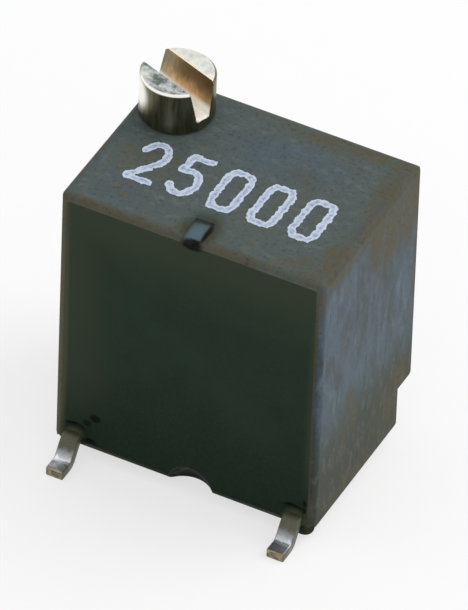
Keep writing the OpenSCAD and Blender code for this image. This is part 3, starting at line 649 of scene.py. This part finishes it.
def makeScrew(flash, brass):
    s = screw

    def threadRadius(z):
        # right-handed ridge that faces the wheel, at angle 0, level with the wheel's axis
        def reach(a):
            turn = (z - axisZ) / s["pitch"] - a / (2 * math.pi)
            off = abs(turn - round(turn)) * s["pitch"]
            halfRidge = (s["pitch"] - s["backlash"]) / 4
            r = s["pitchR"] + (halfRidge - off) / math.tan(math.radians(s["flank"]))
            return min(s["shankR"], max(s["rootR"], r))
        return reach

    wormLow, wormHigh = axisZ - s["wormLong"] / 2, axisZ + s["wormLong"] / 2
    foot, shankLow, headLow = wormLow - s["journalLong"], wormHigh + s["relief"], topZ + s["headGap"]
    shankTop = topZ - case["sealDeep"] - s["sealGap"]
    grooveLow, grooveHigh = (topZ - s["grooveDown"] + side * s["grooveHalf"] for side in (-1, 1))
    cut, thin, full, head = s["break"], s["journalR"], s["shankR"], s["headR"]
    rows = [(foot, thin - cut), (foot + cut, thin), (wormLow, thin)]
    for i in range(s["turns"] + 1):
        z = wormLow + s["wormLong"] * i / s["turns"]
        rows.append((z, threadRadius(z)))
    rows += [(wormHigh, thin), (shankLow, thin), (shankLow, full - cut), (shankLow + cut, full),
             (grooveLow, full), (grooveLow, s["grooveR"]), (grooveHigh, s["grooveR"]), (grooveHigh, full),
             (shankTop - cut, full), (shankTop, full - cut), (shankTop, s["neckR"]), (headLow, s["neckR"]),
             (headLow, head - cut), (headLow + cut, head)]
    sideLow, sideHigh = headLow + cut, headTop - s["rimCut"]
    for i in range(1, s["rings"]):
        ring = s["ringDeep"] * (1 + math.sin(i * 2.4))
        rows.append((sideLow + (sideHigh - sideLow) * i / s["rings"], head - ring))
    rows += [(sideHigh, head), (headTop, head - s["rimCut"])]
    body = turned("adjusting_screw", rows, screwAt, s["columns"])
    cutter = prism("slotCutter", slotSection(), -2 * past, 2 * past, "x")
    cutter.data.transform(Matrix.Translation(Vector((screwAt.x, screwAt.y, headTop)) * mm)
                          @ Matrix.Rotation(math.radians(s["slotTurn"]), 4, "Z"))
    combine(body, [cutter])
    soften(body, s["slotBreak"], 3, 40, lambda p: p.z > headLow + 0.1)
    finishPiece(body, "screw", 38, "adjustment_screw")
    # the slot's own faces show the bare metal
    paint(body, flash, brass)
    across = Matrix.Rotation(math.radians(s["slotTurn"]), 3, "Z") @ Vector((0, 1, 0))
    for face in body.data.polygons:
        at = face.center / mm
        t = abs((at - screwAt).dot(across))
        down = headTop - at.z
        wall = s["slotW"] / 2 - down * (s["slotW"] - s["slotFloorW"]) / 2 / s["slotDeep"]
        if 0.02 < down < s["slotDeep"] + 0.01 and t < wall + 0.01 and face.area > 0:
            face.material_index = 1
    return body


def shifted(start, span):
    # a range that counts from a place: its first two numbers move there
    return [start + span[0], start + span[1], *span[2:]]


def nickelFlash():
    # nickel flashed on turned brass: dark and streaked down the head's side as a painted reflection of the
    # case's top, grey and scuffed on top, with a painted highlight on the front of the rim and on the head's
    # left side
    t, s = screwTones, screw
    material, add, spot = newMaterial("nickelFlashedBrass")
    upright = add("VectorMath", [spot, t["upright"]], operation="MULTIPLY")
    streak = add("TexNoise", [upright, 1 / t["streak"], 4.0, 0.6])
    scuff = add("TexNoise", [spot, 1 / t["scuff"], 5.0, 0.7])
    parts = add("SeparateXYZ", [spot])
    onTop = add("MapRange", [parts.outputs["Z"], *shifted(headTop, t["onTop"])])
    side, top, near = (layered(add, t[key][0], (add("MapRange", [marks, *t[tone]]), t[key][1]))
                       for key, marks, tone in (("side", streak, "streakTone"), ("top", scuff, "scuffTone"),
                                                ("near", scuff, "nearTone")))
    # the jaw in front is scuffed darker, and the other jaw's inner edge is rubbed to the brass
    offset = add("VectorMath", [spot, screwAt], operation="SUBTRACT")
    turn = math.radians(s["slotTurn"])
    across = add("VectorMath", [offset, (-math.sin(turn), math.cos(turn), 0)], operation="DOT_PRODUCT")
    inFront = add("MapRange", [across, *t["frontFrom"]])
    inner = add("MapRange", [across, *shifted(s["slotW"] / 2, t["creamFrom"])])
    behind = add("Math", [across, 0.0], operation="GREATER_THAN")
    # the rim: a narrow band round the top's edge, where a painted highlight lies on its front
    flat = add("VectorMath", [offset, (1, 1, 0)], operation="MULTIPLY")
    radius = add("VectorMath", [flat], operation="LENGTH")
    outer = add("MapRange", [radius, *shifted(s["headR"], t["rimIn"])])
    high = add("MapRange", [parts.outputs["Z"], *shifted(headTop, t["rimDown"])])
    facing = add("MapRange", [parts.outputs["X"], *shifted(screwAt.x, t["rimFrom"])])
    # a painted highlight on the rim's front and on the head's left side
    place, size, strength = t["rubbedAndHighlight"]
    rubbedAndHighlight = spotMask(add, spot, [(Vector((screwAt.x, screwAt.y, headTop)) + Vector(place), size, strength)])
    bright = joined(add, "MAXIMUM", joined(add, "MULTIPLY", outer, high, facing, inFront), rubbedAndHighlight)
    color = layered(add, side, (onTop, top), (joined(add, "MULTIPLY", inFront, onTop), near),
                    (joined(add, "MULTIPLY", inner, behind, onTop), t["cream"]), (bright, t["bright"]))
    rough = add("MapRange", [bright, *t["flashRough"]])
    return finishMaterial(material, add, color, rough, [(scuff, *t["flashBump"])], metal=1.0)


def milledBrass():
    # bare brass left by the slotting saw, with fine upright marks: grey-brown with oil at the mouth and
    # darker at both ends, golden below the oil's wavering line, and a floor painted near white as a painted
    # reflection of the light above
    t = screwTones
    floorZ = headTop - screw["slotDeep"]
    material, add, spot = newMaterial("milledBrass")
    upright = add("VectorMath", [spot, t["sawn"]], operation="MULTIPLY")
    marks = add("TexNoise", [upright, 1 / t["saw"], 4.0, 0.6])
    tone = add("MapRange", [marks, *t["sawTone"]])
    oily, golden = (layered(add, first, (tone, second)) for first, second in (t["wall"], t["golden"]))
    parts = add("SeparateXYZ", [spot])
    wavering = add("Math", [marks, t["waver"], parts.outputs["Z"]], operation="MULTIPLY_ADD")
    # the floor is painted near white as a painted reflection
    below, left, right, floorReflection = (
        add("MapRange", [place, *shifted(start, t[key])], **smooth)
        for place, start, key in ((wavering, floorZ, "oilEnds"), (parts.outputs["X"], screwAt.x, "leftEnd"),
                                  (parts.outputs["X"], screwAt.x, "rightEnd"),
                                  (parts.outputs["Z"], floorZ, "floorReflection")))
    color = layered(add, oily, (below, golden), (joined(add, "MAXIMUM", left, right), t["oiled"]),
                    (floorReflection, t["floor"]))
    # the floor is only partly metal, so that its painted reflection looks pale from every side
    bare = add("MapRange", [floorReflection, *t["bare"]])
    rough = add("MapRange", [marks, *t["sawRough"]])
    return finishMaterial(material, add, color, rough, [(marks, *t["sawBump"])], metal=bare)


screwBody = makeScrew(nickelFlash(), milledBrass())
print("screw made:", len(screwBody.data.polygons), "faces")


def gullOutline(inner):
    # side view of a lead: u is outward from the case's face, v is up from the board
    l = lead
    r1, r2 = l["bendR"], l["bendR"] + l["t"]
    mid, heel = l["mid"], l["heel"]
    knee, foot = 90 - l["slope"], 270 - l["slope"]
    upper = arc(l["out"], l["z"] - mid, r2, 90, knee, 10) + arc(heel, l["t"] / 2 + mid, r1, foot, 270, 8)
    lower = arc(heel, l["t"] / 2 + mid, r2, 270, foot, 10) + arc(l["out"], l["z"] - mid, r1, knee, 90, 8)
    return ([(-inner, l["z"] + l["t"] / 2)] + upper + [(l["reach"], l["t"]), (l["reach"], 0)] + lower
            + [(-inner, l["z"] - l["t"] / 2)])


def makeLead(number, tin, core):
    l = lead
    side = number - 2
    outward, face = (1, rearY) if number == 2 else (-1, -frontY)
    plate, t, thin, grip = plateLow.y, l["t"], l["webT"], plateLow.z + l["fingerHigh"]
    inner = outward * (outward * face - plate) + (t if number == 2 else 0)
    outline = [(outward * (face + u), v) for u, v in gullOutline(inner)]
    x = side * l["x"]
    metal = prism(f"lead_{number}", outline, x - l["w"] / 2, x + l["w"] / 2, "x")
    at, under, high = side * l["clipX"], l["z"] - t / 2, clipLow.z
    fingerY, base = seatY, plateLow.z
    clip = [(plate - t, under), (plate, under), (plate, base - thin), (fingerY + thin, base - thin),
            (fingerY + thin, grip), (fingerY, grip), (fingerY, base), (plate, base), (plate, high),
            (plate - t, high)]
    combine(metal, [prism("clip", clip, at - l["w"] / 2, at + l["w"] / 2, "x")], "UNION")
    soften(metal, l["edge"], 4, 30, lambda p: abs(p.y) > -frontY - lap)
    finishPiece(metal, "case", 35, f"terminal_{number}")
    # the foot's end was sheared through the plating
    paint(metal, tin, core)
    for face in metal.data.polygons:
        if abs(face.center.y / mm) > -frontY + l["reach"] - 0.02 and abs(face.normal.y) > 0.9:
            face.material_index = 1
    return metal


tinning = {
    "pale": "#C4C6CA", "deep": "#8D9095", "bright": "#F2F4FA", "film": "#4B4B35", "tip": "#8C7C62",
    "cloud": 0.16,                 # millimetres across its dull clouds
    "ragged": 0.3,                 # how far the clouds shift where one look ends and the next starts
    "cloudTone": (0.38, 0.62),
    "bendOut": 0.15,               # the bend is this far beyond the foot's start, as the clouds shift it
    # ranges, and what they become: either side of the bend, from the foot's end, from the lead's edge, and
    # from the bend
    "rubbedAndHighlight": (0.03, 0.1, 1.0, 0.0), "tipFrom": (0.0, 0.16, 0.0, 0.8), "sideFrom": (-0.04, -0.005, 0.0, 0.85),
    "filmEnds": (-0.24, -0.08, 0.95, 0.0), "bare": (0.0, 1.0, 1.0, 0.35), "rough": (0.3, 0.7, 0.36, 0.5),
    "bump": (0.35, 0.006),
}


def tinPlate():
    # tin over copper alloy, dipped: softly glossy with dull clouds, with a painted highlight over the bend,
    # under an olive film of resin near the case and down both sides, and browned at the tip
    t, l = tinning, lead
    material, add, spot = newMaterial("tinPlate")
    marks = add("TexNoise", [spot, 1 / t["cloud"], 5.0, 0.65])
    parts = add("SeparateXYZ", [spot])
    fromMiddle, away = (add("Math", [parts.outputs[axis]], operation="ABSOLUTE") for axis in "XY")
    ragged = add("Math", [marks, t["ragged"], away], operation="MULTIPLY_ADD")
    bend = -frontY + t["bendOut"] + l["heel"]
    offBend, fromOuter = (add("Math", [joined(add, "SUBTRACT", value, middle)], operation="ABSOLUTE")
                          for value, middle in ((ragged, bend), (fromMiddle, l["x"])))
    # painted highlight over the bend
    rubbedAndHighlight = add("MapRange", [offBend, *t["rubbedAndHighlight"]], **smooth)
    tip = add("MapRange", [ragged, *shifted(-frontY + l["reach"], t["tipFrom"])], **smooth)
    aside = joined(add, "MINIMUM", fromMiddle, fromOuter)
    onSide = add("MapRange", [aside, *shifted(l["w"] / 2, t["sideFrom"])])
    near = add("MapRange", [ragged, *shifted(bend, t["filmEnds"])], **smooth)
    film = joined(add, "MAXIMUM", near, onSide)
    color = layered(add, t["pale"], (add("MapRange", [marks, *t["cloudTone"]]), t["deep"]),
                    (rubbedAndHighlight, t["bright"]), (tip, t["tip"]), (film, t["film"]))
    bare = add("MapRange", [film, *t["bare"]])
    rough = add("MapRange", [marks, *t["rough"]])
    return finishMaterial(material, add, color, rough, [(marks, *t["bump"])], metal=bare)


grained = {
    # the grain's detail and roughness, the ranges of it that its tones and its gloss take, and its bump
    "metal": (5.0, 0.65, (0.36, 0.64), (0.3, 0.7), 0.35),
    "dull": (4.0, 0.6, (0.35, 0.65), (0.3, 0.7), 0.3),
}


def grainedFinish(kind, name, first, second, rough, size, deep, drawn=(1, 1, 1), **own):
    # two close tones, and a gloss that wanders, in a grain that may be drawn out the way it was worked
    detail, fineness, tones, glosses, strength = grained[kind]
    material, add, spot = newMaterial(name)
    along = add("VectorMath", [spot, drawn], operation="MULTIPLY")
    grain = add("TexNoise", [along, 1 / size, detail, fineness])
    color = layered(add, first, (add("MapRange", [grain, *tones]), second))
    roughness = add("MapRange", [grain, *glosses, *rough])
    return finishMaterial(material, add, color, roughness, [(grain, strength, deep)], **own)


# kind, name, two tones, roughness from and to, size and depth of the grain in millimetres
shearedEnd = ("metal", "shearedAlloy", "#9F957B", "#5C5544", (0.38, 0.55), 0.12, 0.006)
finishes = tinPlate(), grainedFinish(*shearedEnd, metal=1.0)
leads = [makeLead(number, *finishes) for number in (1, 2, 3)]
print("leads made:", sum(len(m.data.polygons) for m in leads), "faces")

ink = {
    "text": "25000", "h": 1.49, "w": 0.75, "pitch": 1.03, "stroke": 0.19, "thick": 0.012,
    "x": -2.06, "y": -1.28,        # middle of the first digit's foot
    "cell": 0.018, "margin": 0.05, "nudge": 0.004,   # its grid, the room round a digit, and a step for slopes
    "ragged": 0.036, "waves": (7, 19),               # how far its outline wanders, and waves per millimetre
    "foot": 0.003, "lipW": 0.03,                     # how far it sinks in, and how wide its raised edge is
    "white": "#C4D0E2", "thinned": "#7D8CA6", "patch": 0.1,
    "thinFrom": (0.25, 0.9, 0.15, 1.0), "wornFrom": (0.35, 0.65),
    "rough": 0.65, "ior": 1.5, "gloss": 0.3, "bump": (0.4, 0.006),
}


def digitStrokes(digit):
    # the pen's path for a digit one unit wide and tall, as lines between points
    if digit == "0":
        return [(0.0, 0.14), (0.0, 0.86), (0.16, 1.0), (0.84, 1.0), (1.0, 0.86), (1.0, 0.14), (0.84, 0.0),
                (0.16, 0.0), (0.0, 0.14)]
    if digit == "2":
        bow = [(0.5 + 0.5 * math.cos(math.radians(a)), 0.72 + 0.28 * math.sin(math.radians(a)))
               for a in range(170, -41, -15)]
        return bow + [(0.0, 0.0), (1.0, 0.0)]
    bow = [(0.42 + 0.55 * math.cos(math.radians(a)), 0.32 + 0.32 * math.sin(math.radians(a)))
           for a in range(90, -151, -15)]
    return [(0.92, 1.0), (0.08, 1.0), (0.0, 0.60)] + bow


def strokeDistance(p, line):
    def away(a, b):
        along = b - a
        t = max(0.0, min(1.0, (p - a).dot(along) / along.length_squared))
        return (p - a - along * t).length
    return min(away(a, b) for a, b in zip(line, line[1:]))


def addDigit(bm, edgeLayer, number, digit):
    k = ink
    half, margin, nudge = k["stroke"] / 2, k["margin"], k["nudge"]
    wide, close = k["waves"]
    ox, oy = k["x"] + number * k["pitch"] - k["w"] / 2, k["y"]
    line = [Vector((ox + half + u * (k["w"] - k["stroke"]), oy + half + v * (k["h"] - k["stroke"])))
            for u, v in digitStrokes(digit)]

    def inside(p):
        # distance inside the stroke's ragged outline
        wobble = (noise.noise((p.x * wide, p.y * wide, number))
                  + 0.7 * noise.noise((p.x * close, p.y * close, number + 5.5)))
        return half - strokeDistance(p, line) + k["ragged"] * wobble

    nx, ny = int((k["w"] + 2 * margin) / k["cell"]), int((k["h"] + 2 * margin) / k["cell"])
    spots, depth = {}, {}
    for i in range(nx + 1):
        for j in range(ny + 1):
            spots[i, j] = Vector((ox - margin + i * k["cell"], oy - margin + j * k["cell"]))
            depth[i, j] = inside(spots[i, j])
    kept = {(i, j) for i in range(nx) for j in range(ny)
            if depth[i, j] + depth[i + 1, j] + depth[i, j + 1] + depth[i + 1, j + 1] > 0}
    used = sorted({(i + a, j + b) for i, j in kept for a in (0, 1) for b in (0, 1)})
    tops, feet = {}, {}
    for i, j in used:
        p, d = spots[i, j].copy(), depth[i, j]
        onRim = not all((i - a, j - b) in kept for a in (0, 1) for b in (0, 1))
        if onRim:
            # points of the rim slide onto the stroke's real outline
            slope = Vector((inside(p + Vector((nudge, 0))) - d, inside(p + Vector((0, nudge))) - d)) / nudge
            if slope.length > 0.2:
                p -= slope * (d / slope.length_squared)
            d = 0.0
        # ink stands a little higher along its edges
        height = k["thick"] * (0.5 if onRim else 0.55 + 0.45 * math.exp(-(max(d, 0) / k["lipW"]) ** 2))
        tops[i, j] = bm.verts.new(Vector((p.x, p.y, topZ + height)) * mm)
        tops[i, j][edgeLayer] = min(1.0, max(0.0, d) / half)
        if onRim:
            feet[i, j] = bm.verts.new(Vector((p.x, p.y, topZ - k["foot"])) * mm)
    edges = set()
    for i, j in sorted(kept):
        ring = [(i, j), (i + 1, j), (i + 1, j + 1), (i, j + 1)]
        bm.faces.new([tops[q] for q in ring])
        edges.update(zip(ring, ring[1:] + ring[:1]))
    for a, b in sorted(edges):
        if (b, a) not in edges:
            bm.faces.new((tops[a], feet[a], feet[b], tops[b]))


def makeMarking():
    bm = bmesh.new()
    edgeLayer = bm.verts.layers.float.new("inkEdge")
    for number, digit in enumerate(ink["text"]):
        addDigit(bm, edgeLayer, number, digit)
    return finishPiece(meshObject("value_marking", bm), "case", 60)


def markingInk():
    # white epoxy ink laid by a nozzle: brighter along its edges, thin and lilac in its middle
    k = ink
    material, add, spot = newMaterial("markingInk")
    depth = add("Attribute", attribute_name="inkEdge").outputs["Fac"]
    patchy = add("TexNoise", [spot, 1 / k["patch"], 4.0, 0.7])
    thin = joined(add, "MULTIPLY", add("MapRange", [depth, *k["thinFrom"]], **smooth),
                  add("MapRange", [patchy, *k["wornFrom"]]))
    color = layered(add, k["white"], (thin, k["thinned"]))
    return finishMaterial(material, add, color, k["rough"], [(patchy, *k["bump"])], ior=k["ior"],
                          gloss=k["gloss"])


marking = makeMarking()
paint(marking, markingInk())
print("marking made:", len(marking.data.polygons), "faces")

# what is inside: its nodes, what goes on the shader, then as for the leads' sheared ends
inside = [
    ("element_substrate", {"ior": 1.76}, "dull", "firedAlumina", "#E9E6DC", "#DAD6C8", (0.54, 0.66), 0.05,
     0.004),
    ("resistive_track", {"ior": 1.6}, "dull", "firedResistorInk", "#222224", "#313133", (0.39, 0.51), 0.04,
     0.004),
    ("end_pad_1 end_pad_3 collector_track", {"metal": 1.0}, "metal", "firedSilverInk", "#CFCCC2", "#AFAB9E",
     (0.38, 0.5), 0.05, 0.004),
    ("screw_seal", {"ior": 1.43}, "dull", "siliconeRubber", "#6B2B22", "#572019", (0.44, 0.56), 0.08, 0.004),
    ("screw_retainer", {"metal": 1.0}, "metal", "stampedSteel", "#BDBBB2", "#96948B", (0.25, 0.4), 0.1, 0.004,
     (1, 0.2, 1)),
    ("rotor_gear", {"ior": 1.48}, "dull", "mouldedAcetal", "#DAD4C1", "#CEC7B1", (0.34, 0.46), 0.3, 0.004),
    ("wiper_spring", {"metal": 1.0}, "metal", "springAlloy", "#CFAE66", "#A88747", (0.2, 0.34), 0.08, 0.003,
     (0.2, 1, 1)),
    ("solder_joint_1 solder_joint_2 solder_joint_3", {"metal": 1.0}, "metal", "reflowedSolder", "#BFC0C0",
     "#9C9D9C", (0.15, 0.3), 0.2, 0.006),
]
for nodes, own, *look in inside:
    finish = grainedFinish(*look, **own)
    for name in nodes.split():
        paint(frame["nodes"][name], finish)
print("inner pieces finished")

studio = {
    "floorHalf": 0.6, "floorCells": 8, "floor": "#FAFAFA", "floorGrain": "#F7F7F7", "floorRough": 0.9,
    "floorGloss": 0.1, "floorMarks": (0.9, 2.0),   # marks per millimetre, and their detail
    "glow": 0.65,                                # how much of the floor is plain white where it is seen
    "horizon": 0.58, "sky": 0.82, "skyUp": 0.8,  # level of the soft light, low down, and from this high up
    "keySpot": (0.09, 0.06, 0.12), "keySize": 0.12, "keyWatts": 0.10, "keyTint": "#FFFFFF",
    "white": (1, 1, 1, 1),
}


def seenDirectly(add):
    # 1 for what the camera sees straight, in metal or through glass
    rays = add("LightPath").outputs
    return joined(add, "MAXIMUM", rays["Is Camera Ray"], rays["Is Glossy Ray"], rays["Is Transmission Ray"])


def makeFloor():
    s = studio
    bm = bmesh.new()
    bmesh.ops.create_grid(bm, x_segments=s["floorCells"], y_segments=s["floorCells"], size=s["floorHalf"])
    floor = meshObject("studio_floor", bm)
    material, add, spot = newMaterial("paleFloor")
    grain = add("TexNoise", [spot, *s["floorMarks"]])
    color = layered(add, s["floor"], (grain, s["floorGrain"]))
    surface = add("BsdfPrincipled", {"Base Color": color, "Roughness": s["floorRough"],
                                     "Specular IOR Level": s["floorGloss"]})
    # what looks at the floor sees it partly as plain white, so the shadow stays light
    white = add("Emission", {"Color": s["white"], "Strength": 1.0})
    share = joined(add, "MULTIPLY", seenDirectly(add), s["glow"])
    add("OutputMaterial", {"Surface": add("MixShader", [share, surface, white])})
    paint(floor, material)


def makeKey():
    s = studio
    lamp = bpy.data.lights.new("key", "AREA")
    lamp.shape, lamp.size, lamp.energy = "DISK", s["keySize"], s["keyWatts"]
    lamp.color = linearColor(s["keyTint"])[:3]
    holder = bpy.data.objects.new("key", lamp)
    bpy.context.scene.collection.objects.link(holder)
    holder.location = s["keySpot"]
    aim = Vector((0, 0, axisZ * mm)) - Vector(s["keySpot"])
    holder.rotation_euler = aim.to_track_quat("-Z", "Y").to_euler()


def makeWorld():
    s = studio
    world = bpy.data.worlds.new("studio")
    bpy.context.scene.world = world
    world.use_nodes = True
    world.node_tree.nodes.clear()
    add = partial(addNode, world.node_tree)
    up = add("SeparateXYZ", [add("TexCoord").outputs["Generated"]]).outputs["Z"]
    level = add("MapRange", [up, 0.0, s["skyUp"], s["horizon"], s["sky"]], **smooth)
    light, white = (add("Background", [s["white"], strength]) for strength in (level, 1.0))
    add("OutputWorld", {"Surface": add("MixShader", [seenDirectly(add), light, white])})


view = {
    "azimuth": 26.145, "elevation": 41.145, "roll": 2.16,
    "distance": 285.0, "focal": 12518.0,     # millimetres, and pixels of the photograph's frame
    "middle": (236.78, 317.09), "frame": (468, 610),
    "aim": (0, 0, baseZ + 3.23), "sensor": 36.0, "clip": (0.01, 10),   # the clip is in metres
}


def makeCamera():
    v = view
    az, el, roll = (math.radians(v[k]) for k in ("azimuth", "elevation", "roll"))
    back = Vector((math.sin(az) * math.cos(el), -math.cos(az) * math.cos(el), math.sin(el)))
    right = Vector((0, 0, 1)).cross(back).normalized()
    up = back.cross(right)
    right, up = right * math.cos(roll) + up * math.sin(roll), up * math.cos(roll) - right * math.sin(roll)
    # the frame's middle looks a little beside the aim point
    pixel = v["distance"] / v["focal"]
    dx = (v["frame"][0] / 2 - v["middle"][0]) * pixel
    dy = (v["middle"][1] - v["frame"][1] / 2) * pixel
    aim = Vector(v["aim"]) + right * dx + up * dy
    data = bpy.data.cameras.new("camera")
    data.sensor_fit, data.sensor_width = "HORIZONTAL", v["sensor"]
    data.lens = v["focal"] / v["frame"][0] * data.sensor_width
    data.clip_start, data.clip_end = v["clip"]
    camera = bpy.data.objects.new("camera", data)
    bpy.context.scene.collection.objects.link(camera)
    camera.matrix_world = Matrix.Translation((aim + back * v["distance"]) * mm) @ Matrix(
        (right, up, back)).transposed().to_4x4()
    bpy.context.scene.camera = camera


makeFloor()
makeWorld()
makeCamera()
makeKey()
bpy.context.scene.view_settings.view_transform = "Standard"
print("stage set")
